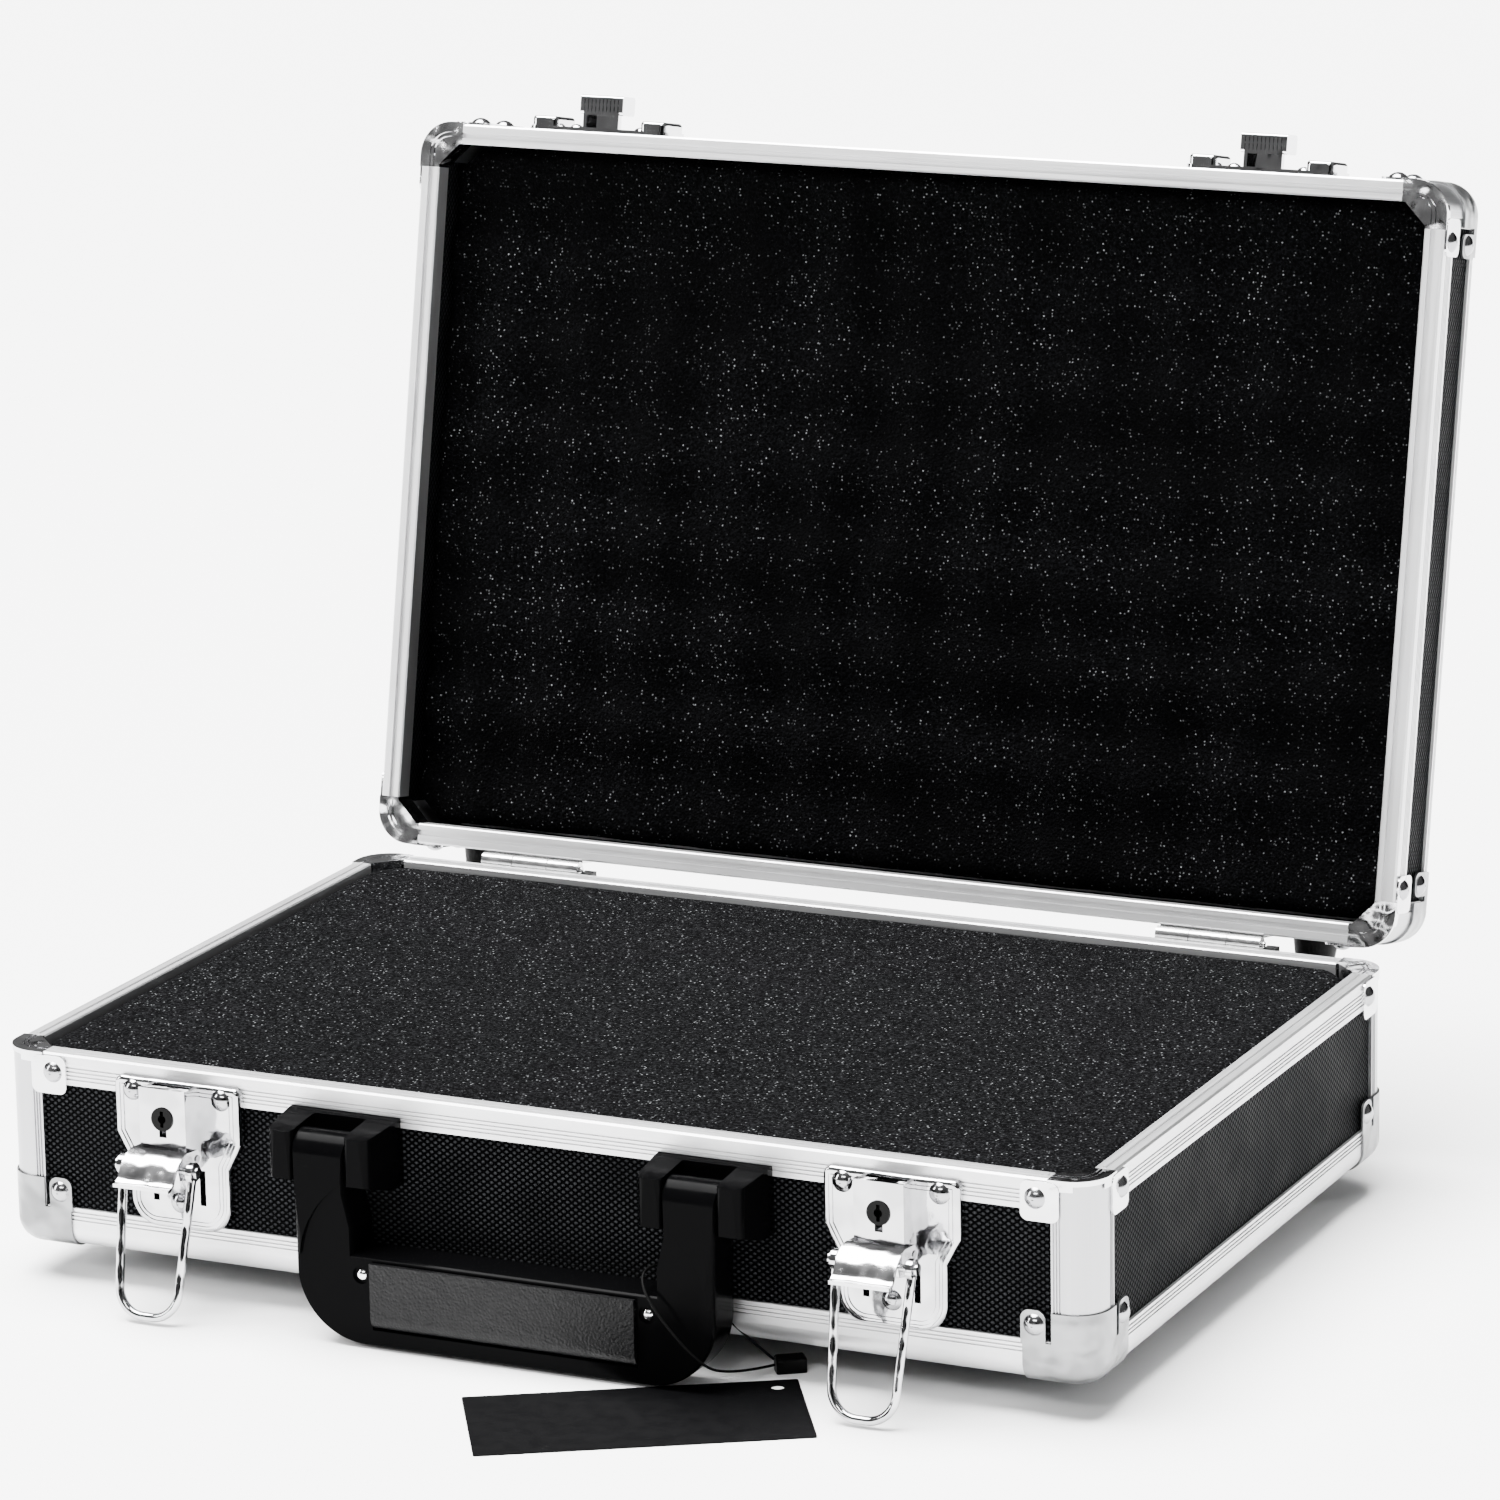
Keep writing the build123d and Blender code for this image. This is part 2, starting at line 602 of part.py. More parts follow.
def latch_lever(x):
    """Folded lever: a curved cover with a flared lip, cheeks outside the lock box, bail studs."""
    inner = box_half + 0.35
    cheek = 1.2
    end = inner + cheek
    y, z = lever_pin
    with BuildPart() as lever:
        with BuildSketch(Plane(origin=(x - end, 0, 0), x_dir=(0, 1, 0), z_dir=RIGHT)):
            with BuildLine():
                ThreePointArc((y - 5.0, z + 3.4), (y - 11.2, z + 1.4), (y - 14.6, z - 2.8))
                ThreePointArc((y - 14.6, z - 2.8), (y - 15.8, z - 4.0), (y - 17.8, z - 4.4))
                Line((y - 17.8, z - 4.4), (y - 17.8, z - 5.5))
                ThreePointArc((y - 17.8, z - 5.5), (y - 15.0, z - 5.0), (y - 13.5, z - 3.3))
                ThreePointArc((y - 13.5, z - 3.3), (y - 10.4, z + 0.5), (y - 5.0, z + 2.2))
                Line((y - 5.0, z + 2.2), (y - 5.0, z + 3.4))
            make_face()
        extrude(amount=2 * end)
        for start in (x - end, x + inner):
            with BuildSketch(Plane(origin=(start, 0, 0), x_dir=(0, 1, 0), z_dir=RIGHT)) as cheeks:
                with BuildLine():
                    Polyline(
                        (y - 5.0, z + 3.3), (y + 0.6, z + 2.8), (y + 2.8, z), (y + 0.6, z - 2.8),
                        (y - 6.0, z - 4.8), (y - 10.6, z - 3.6), (y - 11.6, z + 0.4), close=True,
                    )
                make_face()
                fillet(cheeks.vertices(), 0.7)
            extrude(amount=cheek)
        for start, reach, radius in (
            (x - end - 3.6, 3.7, bail_pin_radius), (x + end - 0.1, 3.7, bail_pin_radius),
            (x - end - 4.4, 0.8, 1.8), (x + end + 3.6, 0.8, 1.8),
        ):
            with BuildSketch(Plane(origin=(start, 0, 0), x_dir=(0, 1, 0), z_dir=RIGHT)):
                with Locations(bail_pivot):
                    Circle(radius)
            extrude(amount=reach)
        with BuildSketch(Plane(origin=(x - end - 1, 0, 0), x_dir=(0, 1, 0), z_dir=RIGHT)):
            with Locations(lever_pin):
                Circle(lever_pin_radius + 0.05)
        extrude(amount=2 * end + 2, mode=Mode.SUBTRACT)
    return lever.part


def latch_bail(x):
    """Wire bail with flattened eyes on the lever's studs, leaning outward as it hangs."""
    y, z = bail_pivot
    eye_x = box_half + 3.95
    drop = (z - floor_level + 10.1 - bail_wire) / math.cos(math.radians(bail_lean))
    lean = math.radians(bail_lean)
    hang = Plane(origin=(x, y, z), x_dir=(1, 0, 0), z_dir=(0, -math.cos(lean), math.sin(lean)))
    with BuildPart() as bail:
        with BuildLine(hang):
            path = FilletPolyline((-eye_x, -2.2), (-bail_half, -drop), (bail_half, -drop), (eye_x, -2.2),
                                  radius=bail_radius)
        with BuildSketch(Plane(origin=path @ 0, z_dir=path % 0)):
            Circle(bail_wire)
        sweep(path=path)
        for side in (-1, 1):
            start = x + side * eye_x - 0.9
            with BuildSketch(Plane(origin=(start, 0, 0), x_dir=(0, 1, 0), z_dir=RIGHT)):
                with Locations(bail_pivot):
                    Circle(3.0)
            extrude(amount=1.8)
            with BuildSketch(Plane(origin=(start, 0, 0), x_dir=(0, 1, 0), z_dir=RIGHT)):
                with Locations(bail_pivot):
                    Circle(bail_pin_radius + 0.05)
            extrude(amount=1.8, mode=Mode.SUBTRACT)
    return bail.part


for side_name, x in (("left", -latch_x), ("right", latch_x)):
    write(latch_plate(x), f"latch_plate_{side_name}")
    write(lock_box(x), f"lock_box_{side_name}")
    write(lock_plug(x), f"lock_plug_{side_name}")
    write(latch_lever(x), f"latch_lever_{side_name}")
    write(latch_bail(x), f"latch_bail_{side_name}")

latch_rivet_planes = [
    Plane(origin=(side * latch_x + dx, -half_d - plate_proud, floor_level + level), x_dir=(1, 0, 0), z_dir=FRONT)
    for side in (-1, 1) for dx, level in ((-15.0, 53.5), (15.0, 53.5), (0.0, 20.0))
]
write(rivets(latch_rivet_planes), "latch_rivets")

with BuildPart() as lever_pins:
    for middle in (-latch_x, latch_x):
        with BuildSketch(Plane(origin=(middle - 9.6, 0, 0), x_dir=(0, 1, 0), z_dir=RIGHT)):
            with Locations(lever_pin):
                Circle(lever_pin_radius)
        extrude(amount=19.2)
write(lever_pins.part, "lever_pins")

# ---------------------------------------------------------------- keepers on the lid
keeper_low = lid_rim + 1.2
keeper_high = lid_rim + 17.4
keeper_sheet = 1.2
hook_low = lid_rim + 4.0
stem_high = lid_rim + 10.3
nose_high = lid_rim + 12.9
hook_reach = 12.0
nose_thick = 6.2            # nose, which passes through the bail
nose_half = 7.7
stem_half = 6.4             # stem, which the latched bail surrounds
stem_radius = 5.0
nose_ribs = 10


def keeper(x):
    """Pressed keeper plate with two side ribs and the stem and nose that the bail hooks behind."""
    with BuildPart() as plate:
        with BuildSketch(face_plane(FRONT, x, 0)):
            with Locations((0, (keeper_low + keeper_high) / 2)):
                RectangleRounded(50.0, keeper_high - keeper_low, 3.0)
        extrude(amount=keeper_sheet)
        with BuildSketch(face_plane(FRONT, x, 0)):
            with Locations((-19.5, (keeper_low + keeper_high) / 2), (19.5, (keeper_low + keeper_high) / 2)):
                RectangleRounded(9.4, keeper_high - keeper_low - 1.6, 2.0)
        extrude(amount=4.4)
        fillet(plate.faces().filter_by(Axis.Y).sort_by(Axis.Y)[0:2].edges(), 1.2)
        with BuildSketch(face_plane(FRONT, x, 0)) as stem:
            with Locations((0, (hook_low + stem_high) / 2)):
                Rectangle(2 * stem_half, stem_high - hook_low)
            fillet(stem.vertices().group_by(Axis.Y)[-1], stem_radius)
        extrude(amount=hook_reach - nose_thick / 2)
        with BuildSketch(Plane(origin=(x - nose_half, -half_d, 0), x_dir=(0, 1, 0), z_dir=RIGHT)) as nose:
            with Locations((-hook_reach + nose_thick / 2, (hook_low + nose_high) / 2)):
                Rectangle(nose_thick, nose_high - hook_low)
            fillet(nose.vertices(), 1.0)
        extrude(amount=2 * nose_half)
        with BuildSketch(Plane.XY.offset(hook_low)):
            with Locations((x, -half_d - hook_reach + nose_thick / 2)):
                with GridLocations(2 * (nose_half - 1) / nose_ribs, 2.4, nose_ribs, 2):
                    Rectangle(0.6, 1.9)
        extrude(amount=0.35, mode=Mode.SUBTRACT)
        with BuildSketch(Plane.XY.offset(hook_low)):
            with Locations((x, -half_d - (keeper_sheet + hook_reach - nose_thick) / 2)):
                Rectangle(2 * stem_half - 2.4, hook_reach - nose_thick - keeper_sheet - 0.4)
        extrude(amount=stem_high - hook_low - 2.4, mode=Mode.SUBTRACT)
    return plate.part


for side_name, x in (("left", -latch_x + 1), ("right", latch_x - 1)):
    write_lid(keeper(x), f"keeper_{side_name}")
keeper_rivet_planes = [
    Plane(origin=(side * (latch_x - 1) + dx, -half_d - 1.2, (keeper_low + keeper_high) / 2 + 1.0),
          x_dir=(1, 0, 0), z_dir=FRONT)
    for side in (-1, 1) for dx in (-11.6, 11.6)
]
write_lid(rivets(keeper_rivet_planes, radius=2.2, height=1.2), "keeper_rivets")

# ---------------------------------------------------------------- handle
handle_pin = (-half_d - 12.0, floor_level + 45.5)       # y, z
handle_pin_radius = 2.5
arm_width = 16.6
slot_width = 17.4
bracket_wide = 36.0
bracket_nose_wide = 33.0
nose_round = 2.0            # rounded mouth of a bracket's slot
frame_half = 67.8
bar_low = 0.9
bar_high = floor_level + 17.5
bar_depth = 16.5
corner_radius = 22.0
grip_half = 43.0
scoop_low = 27.0            # where the arm's scooped face starts, above the floor
scoop_depth = 1.2
pad_low = bar_low + 5.2
pad_high = bar_high - 1.6
pad_back = 3.0              # back of the pad's pocket, behind the pins' plane
pad_proud = 0.3             # how far the pad stands in front of the arms
screw_x = grip_half + 3.4
screw_z = 22.5
screw_recess = 0.8


def handle_bracket(x):
    """Moulded bracket: two cheeks and a back, open to the front and below for the arm."""
    wall = -half_d
    low = floor_level + 34.0
    with BuildPart() as bracket:
        with BuildSketch(Plane(origin=(x - bracket_wide / 2, 0, 0), x_dir=(0, 1, 0), z_dir=RIGHT)) as side:
            with BuildLine():
                Polyline(
                    (wall + frame_wall, low), (wall - 6.0, low), (wall - 18.6, low + 4.0),
                    (wall - 19.0, low + 18.6), (wall, low + 20.5), (wall, base_rim - rim_face - 0.2),
                    (wall + frame_wall, base_rim - rim_face - 0.2), close=True,
                )
            make_face()
            fillet(side.vertices().filter_by(lambda v: v.Y < wall - 18), 3.0)
        extrude(amount=bracket_wide)
        with BuildSketch(Plane.XY.offset(low - 1)) as plan:
            with BuildLine():
                Polyline(
                    (x - bracket_wide / 2, wall + 2), (x - bracket_wide / 2, wall - 3),
                    (x - bracket_nose_wide / 2, wall - 19.0), (x + bracket_nose_wide / 2, wall - 19.0),
                    (x + bracket_wide / 2, wall - 3), (x + bracket_wide / 2, wall + 2), close=True,
                )
            make_face()
            fillet(plan.vertices().group_by(Axis.Y)[0], 3.5)
        extrude(amount=30, mode=Mode.INTERSECT)
        with BuildSketch(Plane.XY.offset(low - 1)):
            with Locations((x, wall - 17.1 - nose_round / 2)):
                Rectangle(slot_width + 2 * nose_round, nose_round + 0.2)
            for side in (-1, 1):
                with Locations((x + side * (slot_width / 2 + nose_round), wall - 17.0)):
                    Circle(nose_round, mode=Mode.SUBTRACT)
            with Locations((x, wall - 13.5)):
                Rectangle(slot_width, 20.0)
        extrude(amount=30, mode=Mode.SUBTRACT)
        with BuildSketch(Plane(origin=(x - 16.0, 0, 0), x_dir=(0, 1, 0), z_dir=RIGHT)):
            with Locations(handle_pin):
                Circle(handle_pin_radius)
        extrude(amount=32.0, mode=Mode.SUBTRACT)
    return bracket.part


write(handle_bracket(-handle_x), "handle_bracket_left")
write(handle_bracket(handle_x), "handle_bracket_right")

with BuildPart() as handle_pins:
    for middle in (-handle_x, handle_x):
        with BuildSketch(Plane(origin=(middle - 15.8, 0, 0), x_dir=(0, 1, 0), z_dir=RIGHT)):
            with Locations(handle_pin):
                Circle(handle_pin_radius)
        extrude(amount=31.6)
write(handle_pins.part, "handle_pins")

pin_y, pin_z = handle_pin
arm_out = handle_x + arm_width / 2
arm_in = handle_x - arm_width / 2
with BuildPart() as handle_frame:
    with BuildSketch(Plane(origin=(0, pin_y, 0), x_dir=(1, 0, 0), z_dir=FRONT)) as front_view:
        with BuildLine():
            Polyline(
                (0, bar_low), (frame_half, bar_low), (frame_half, bar_low + 30), (arm_out, pin_z - 8),
                (arm_out, pin_z + 7), (arm_in, pin_z + 7), (arm_in, pin_z - 10),
                (grip_half + 6.3, bar_high + 8), (grip_half + 6.3, bar_high), (0, bar_high),
            )
            mirror(about=Plane.YZ)
        make_face()
        fillet(front_view.vertices().group_by(Axis.Y)[0], corner_radius)
        fillet(front_view.vertices().group_by(Axis.Y)[1], 6.0)
    extrude(amount=bar_depth / 2, both=True)
    fillet(handle_frame.faces().filter_by(Axis.Y).edges(), 3.0)
    with BuildSketch(Plane(origin=(-80, pin_y, 0), x_dir=(0, 1, 0), z_dir=RIGHT)):
        with BuildLine():
            Line((-6.8, pin_z), (-bar_depth / 2, floor_level + 22.0))
            Line((-bar_depth / 2, floor_level + 22.0), (-bar_depth / 2, bar_low))
            Line((-bar_depth / 2, bar_low), (bar_depth / 2, bar_low))
            Line((bar_depth / 2, bar_low), (bar_depth / 2, floor_level + 22.0))
            Line((bar_depth / 2, floor_level + 22.0), (6.8, pin_z))
            ThreePointArc((6.8, pin_z), (0, pin_z + 6.8), (-6.8, pin_z))
        make_face()
    extrude(amount=160, mode=Mode.INTERSECT)
    with BuildSketch(Plane(origin=(0, pin_y - bar_depth / 2, 0), x_dir=(1, 0, 0), z_dir=FRONT)):
        with BuildLine():
            Polyline((0, -5), (80, -5), (80, scoop_low), (66.0, scoop_low))
            ThreePointArc((66.0, scoop_low), (61.8, scoop_low + 12.5), (50.0, scoop_low + 24.0))
            Line((50.0, scoop_low + 24.0), (0, scoop_low + 24.0))
            mirror(about=Plane.YZ)
        make_face()
    extrude(amount=-scoop_depth, mode=Mode.SUBTRACT)
    with BuildSketch(Plane(origin=(-grip_half, pin_y, 0), x_dir=(0, 1, 0), z_dir=RIGHT)):
        with Locations((pad_back / 2 - bar_depth / 2, (pad_low + pad_high) / 2)):
            Rectangle(bar_depth + pad_back, pad_high - pad_low)
    extrude(amount=2 * grip_half, mode=Mode.SUBTRACT)
    with BuildSketch(Plane(origin=(0, pin_y - bar_depth / 2 + scoop_depth, 0), x_dir=(1, 0, 0), z_dir=FRONT)):
        with Locations((-screw_x, screw_z), (screw_x, screw_z)):
            Circle(2.6)
    extrude(amount=-screw_recess, mode=Mode.SUBTRACT)
    with BuildSketch(Plane(origin=(-100, 0, 0), x_dir=(0, 1, 0), z_dir=RIGHT)):
        with Locations(handle_pin):
            Circle(handle_pin_radius + 0.05)
    extrude(amount=200, mode=Mode.SUBTRACT)
write(handle_frame.part, "handle_frame")

with BuildPart() as grip_pad:
    with BuildSketch(Plane(origin=(-grip_half + 0.1, pin_y, 0), x_dir=(0, 1, 0), z_dir=RIGHT)) as cushion:
        with Locations((pad_back / 2 - bar_depth / 4 - pad_proud / 2, (pad_low + pad_high) / 2)):
            Rectangle(pad_back + bar_depth / 2 + pad_proud, pad_high - pad_low)
        fillet(cushion.vertices().group_by(Axis.Y)[0], 4.5)
    extrude(amount=2 * grip_half - 0.2)
write(grip_pad.part, "grip_pad")

screw_planes = [
    Plane(origin=(side * screw_x, pin_y - bar_depth / 2 + scoop_depth + screw_recess, screw_z),
          x_dir=(1, 0, 0), z_dir=FRONT)
    for side in (-1, 1)
]
write(rivets(screw_planes, radius=1.9, height=0.9), "grip_screws")

# ---------------------------------------------------------------- swing tag
tag_turn = 31.3
tag_middle = (54.0, -160.0)
tag_size = (97.0, 48.0)
tag_thickness = 0.5
tag_lift = 0.05
seal_middle = (77.5, -107.5)
string_radius = 0.4

with BuildPart() as tag_card:
    with BuildSketch(Plane.XY.offset(tag_lift)):
        with Locations(Location((*tag_middle, 0), (0, 0, tag_turn))):
            RectangleRounded(*tag_size, 0.8)
            with Locations((tag_size[0] / 2 - 6.5, tag_size[1] / 2 - 6.0)):
                Circle(2.0, mode=Mode.SUBTRACT)
    extrude(amount=tag_thickness)
write(tag_card.part, "tag_card")

with BuildPart() as tag_seal:
    with BuildSketch(Plane.XY.offset(tag_lift)):
        with Locations(Location((*seal_middle, 0), (0, 0, 35))):
            RectangleRounded(9.0, 6.0, 0.8)
    extrude(amount=4.4)
    chamfer(tag_seal.faces().sort_by(Axis.Z)[-1].edges(), 0.5)
write(tag_seal.part, "tag_seal")


def cord(points, label):
    """Round cord through the points: straight runs joined by tangent arcs."""
    runs = [Vector(*b) - Vector(*a) for a, b in zip(points, points[1:])]
    radii = []
    for first, second in zip(runs, runs[1:]):
        half_turn = math.radians(first.get_angle(second)) / 2
        radii.append(0.45 * min(first.length, second.length) / math.tan(half_turn))
    print(label, "bend radii", [round(radius, 2) for radius in radii])
    with BuildPart() as tube:
        with BuildLine():
            path = FilletPolyline(*points, radius=radii)
        with BuildSketch(Plane(origin=path @ 0, z_dir=path % 0)):
            Circle(string_radius)
        sweep(path=path)
    print(label, "volume", round(tube.part.volume, 2), "section by length",
          round(math.pi * string_radius**2 * path.length, 2))
    return tube.part


string_points = [
    (73.0, -109.4, 3.6), (67.2, -120.2, 15.0), (43.8, -119.6, 34.2), (43.8, -141.6, 34.2),
    (63.4, -141.4, 11.4), (68.6, -129.0, 4.6), (73.9, -110.9, 2.4),
]
write(cord(string_points, "tag_string"), "tag_string")
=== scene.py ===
"""Looks of the open aluminium attache case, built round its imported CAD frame."""

import math

import bmesh
import bpy
from mathutils import Matrix, Vector, noise


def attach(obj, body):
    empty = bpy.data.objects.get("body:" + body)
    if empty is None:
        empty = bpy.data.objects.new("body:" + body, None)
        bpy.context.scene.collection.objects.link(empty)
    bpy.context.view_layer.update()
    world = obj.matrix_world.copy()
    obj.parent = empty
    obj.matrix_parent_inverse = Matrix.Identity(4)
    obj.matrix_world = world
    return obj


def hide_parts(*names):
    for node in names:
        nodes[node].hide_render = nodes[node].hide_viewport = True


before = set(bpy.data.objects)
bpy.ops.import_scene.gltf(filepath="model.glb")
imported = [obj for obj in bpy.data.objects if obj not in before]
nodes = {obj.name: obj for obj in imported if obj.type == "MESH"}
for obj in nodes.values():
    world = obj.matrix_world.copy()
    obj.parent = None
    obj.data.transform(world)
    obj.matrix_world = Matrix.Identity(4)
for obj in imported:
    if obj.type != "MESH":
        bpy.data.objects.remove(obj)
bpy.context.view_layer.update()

HINGE = Vector((0, 0.1214, 0.0725))  # on the lid's axis
OPEN = math.radians(101.5)           # from shut to leaning back
SIDE_PROFILES = 0.1634               # |x| past which the profiles run front to back
LOZENGE_WIDE, LOZENGE_HIGH = 0.0026, 0.0020
TO_SHUT = Matrix.Translation(HINGE) @ Matrix.Rotation(OPEN, 4, "X") @ Matrix.Translation(-HINGE)
TO_OPEN = TO_SHUT.inverted()


# ---------------------------------------------------------------- node helpers
class Nodes:
    """Short ways to add nodes to a node tree."""

    def __init__(self, tree):
        self.tree = tree

    def add(self, kind, **settings):
        node = self.tree.nodes.new(kind)
        for key, value in settings.items():
            setattr(node, key, value)
        return node

    def link(self, source, target):
        """Joins a socket to the target, or writes a plain value into it."""
        if hasattr(source, "is_output"):
            self.tree.links.new(source, target)
        else:
            target.default_value = source

    def math(self, operation, *values):
        node = self.add("ShaderNodeMath", operation=operation)
        for value, socket in zip(values, node.inputs):
            self.link(value, socket)
        return node.outputs[0]

    def ramp(self, value, low, high, to_low=0.0, to_high=1.0):
        node = self.add("ShaderNodeMapRange", interpolation_type="SMOOTHSTEP")
        for source, socket in zip((value, low, high, to_low, to_high), node.inputs):
            self.link(source, socket)
        return node.outputs[0]

    def split(self, vector):
        node = self.add("ShaderNodeSeparateXYZ")
        self.link(vector, node.inputs[0])
        return node.outputs


class Shader(Nodes):
    """A Principled material and the textures it is made of."""

    def __init__(self, name, color, rough, metallic=0.0, **sockets):
        self.mat = bpy.data.materials.new(name)
        self.mat.use_nodes = True
        super().__init__(self.mat.node_tree)
        self.bsdf = self.tree.nodes["Principled BSDF"]
        self.bsdf.inputs["Base Color"].default_value = (*color, 1)
        self.bsdf.inputs["Roughness"].default_value = rough
        self.bsdf.inputs["Metallic"].default_value = metallic
        for key, value in sockets.items():
            self.bsdf.inputs[key.replace("_", " ")].default_value = value

    def mix(self, factor, a, b):
        node = self.add("ShaderNodeMix", data_type="RGBA")
        self.link(factor, node.inputs["Factor"])
        for value, socket in ((a, node.inputs[6]), (b, node.inputs[7])):
            self.link((*value, 1) if isinstance(value, tuple) else value, socket)
        return node.outputs[2]

    def coords(self, lid=False, scale=(1, 1, 1)):
        """Coordinates of the case in metres; a lid piece gets those of the shut lid."""
        out = self.add("ShaderNodeTexCoord").outputs["Object"]
        if lid:
            turn = self.add("ShaderNodeMapping")
            self.link(out, turn.inputs["Vector"])
            turn.inputs["Location"].default_value = TO_SHUT.translation
            turn.inputs["Rotation"].default_value = (OPEN, 0, 0)
            out = turn.outputs[0]
        if scale != (1, 1, 1):
            stretch = self.add("ShaderNodeMapping")
            self.link(out, stretch.inputs["Vector"])
            stretch.inputs["Scale"].default_value = scale
            out = stretch.outputs[0]
        return out

    def noise(self, vector, scale, detail=2.0, rough=0.5):
        node = self.add("ShaderNodeTexNoise")
        self.link(vector, node.inputs["Vector"])
        node.inputs["Scale"].default_value = scale
        node.inputs["Detail"].default_value = detail
        node.inputs["Roughness"].default_value = rough
        return node.outputs["Fac"]

    def voronoi(self, vector, scale, feature="F1", out="Distance"):
        node = self.add("ShaderNodeTexVoronoi", feature=feature)
        self.link(vector, node.inputs["Vector"])
        node.inputs["Scale"].default_value = scale
        return node.outputs[out]

    def bump(self, height, distance, strength=1.0):
        node = self.add("ShaderNodeBump")
        self.link(height, node.inputs["Height"])
        node.inputs["Distance"].default_value = distance
        node.inputs["Strength"].default_value = strength
        previous = self.bsdf.inputs["Normal"]
        if previous.is_linked:
            self.tree.links.new(previous.links[0].from_socket, node.inputs["Normal"])
        self.tree.links.new(node.outputs[0], previous)

    def set(self, socket, source):
        self.link(source, self.bsdf.inputs[socket])


def paint(material, *names):
    """Give CAD nodes or pieces one material."""
    for name in names:
        target = nodes[name] if isinstance(name, str) else name
        target.data.materials.clear()
        target.data.materials.append(material)


# ---------------------------------------------------------------- materials
def laminate(name, across, up, lid):
    """Black laminate embossed with small flat lozenges in diagonal rows, their tops lighter by a
    painted highlight.
    """
    s = Shader(name, (0.003, 0.003, 0.0033), 0.42, Specular_IOR_Level=0.008)
    vector = s.coords(lid)
    axes = dict(zip("XYZ", s.split(vector)))
    drift = s.math("MULTIPLY", s.math("SUBTRACT", s.noise(vector, 9.0, 2.0), 0.5), 0.0006)
    u = s.math("DIVIDE", s.math("ADD", axes[across], drift), LOZENGE_WIDE)
    v = s.math("DIVIDE", axes[up], LOZENGE_HIGH)
    rise = s.math("MULTIPLY", s.math("ADD", u, v), math.pi)
    fall = s.math("MULTIPLY", s.math("SUBTRACT", u, v), math.pi)
    ridges = [s.math("ABSOLUTE", s.math("SINE", phase)) for phase in (rise, fall)]
    grid = s.math("MULTIPLY", *ridges)
    s.bump(s.math("POWER", grid, 0.8), 0.0005, 1.0)
    cloudy = s.noise(vector, 60.0, 3.0)
    s.set("Roughness", s.ramp(cloudy, 0.3, 0.7, 0.36, 0.5))
    # Painted highlight: the raised lozenges are coloured lighter, in random patches, as if catching
    # the light.
    painted_lozenge_highlight = s.math("MULTIPLY", s.ramp(grid, 0.35, 0.9), s.ramp(cloudy, 0.25, 0.75, 0.55, 1.0))
    s.set("Base Color", s.mix(painted_lozenge_highlight, (0.0003, 0.0003, 0.0004), (0.0200, 0.0208, 0.0222)))
    return s.mat


def brushed(name, lid, base=0.66, rough=0.42):
    """Satin aluminium drawn lengthwise: fine lines follow each profile."""
    clean = (base, base, base * 1.01)
    worn = (base * 0.9, base * 0.9, base * 0.91)
    s = Shader(name, clean, rough, 1.0)
    vector = s.coords(lid)
    axes = s.split(vector)
    runs_y = s.math("GREATER_THAN", s.math("ABSOLUTE", axes[0]), SIDE_PROFILES)
    along_x = s.noise(s.coords(lid, (9, 2600, 2600)), 1.0, 3.0)
    along_y = s.noise(s.coords(lid, (2600, 9, 2600)), 1.0, 3.0)
    pick = s.add("ShaderNodeMix", data_type="FLOAT")
    for source, index in ((runs_y, 0), (along_x, 2), (along_y, 3)):
        s.link(source, pick.inputs[index])
    lines = pick.outputs[0]
    s.bump(lines, 0.000002, 0.3)
    s.set("Roughness", s.ramp(lines, 0.25, 0.75, rough - 0.04, rough + 0.07))
    handled = s.ramp(s.noise(vector, 35.0, 3.0), 0.35, 0.7)
    s.set("Base Color", s.mix(handled, clean, worn))
    return s.mat


def post_metal(name, lid):
    """Satin aluminium of the corner posts, drawn upright."""
    s = Shader(name, (0.37, 0.37, 0.38), 0.32, 1.0)
    lines = s.noise(s.coords(lid, (2600, 2600, 12)), 1.0, 3.0)
    s.bump(lines, 0.000006, 0.5)
    s.set("Roughness", s.ramp(lines, 0.25, 0.75, 0.27, 0.4))
    return s.mat


def plated(name, color, rough, lid=False, wave=0.00004, smudge=0.06, mottle=0.92):
    """Plated pressing: nearly a mirror, softly dented, with faint smudges."""
    s = Shader(name, color, rough, 1.0)
    vector = s.coords(lid)
    s.bump(s.noise(vector, 110.0, 1.0), wave * 8, 0.5)
    s.bump(s.noise(vector, 900.0, 2.0), wave * 0.12, 0.5)
    s.set("Roughness", s.ramp(s.noise(vector, 240.0, 3.0), 0.35, 0.7, rough, rough + smudge))
    shade = tuple(value * mottle for value in color)
    s.set("Base Color", s.mix(s.ramp(s.noise(vector, 75.0, 2.0), 0.42, 0.62), color, shade))
    return s.mat


def moulded(name, color, rough, grain=0.0, lid=False, **sockets):
    """Moulded plastic or rubber with a faint flow and an optional fine grain."""
    s = Shader(name, color, rough, **sockets)
    vector = s.coords(lid)
    if grain:
        s.bump(s.voronoi(vector, 1500.0), grain, 0.6)
    s.bump(s.noise(vector, 60.0, 2.0), 0.00008, 0.5)
    s.set("Roughness", s.ramp(s.noise(vector, 180.0, 3.0), 0.3, 0.7, rough - 0.04, rough + 0.07))
    return s.mat


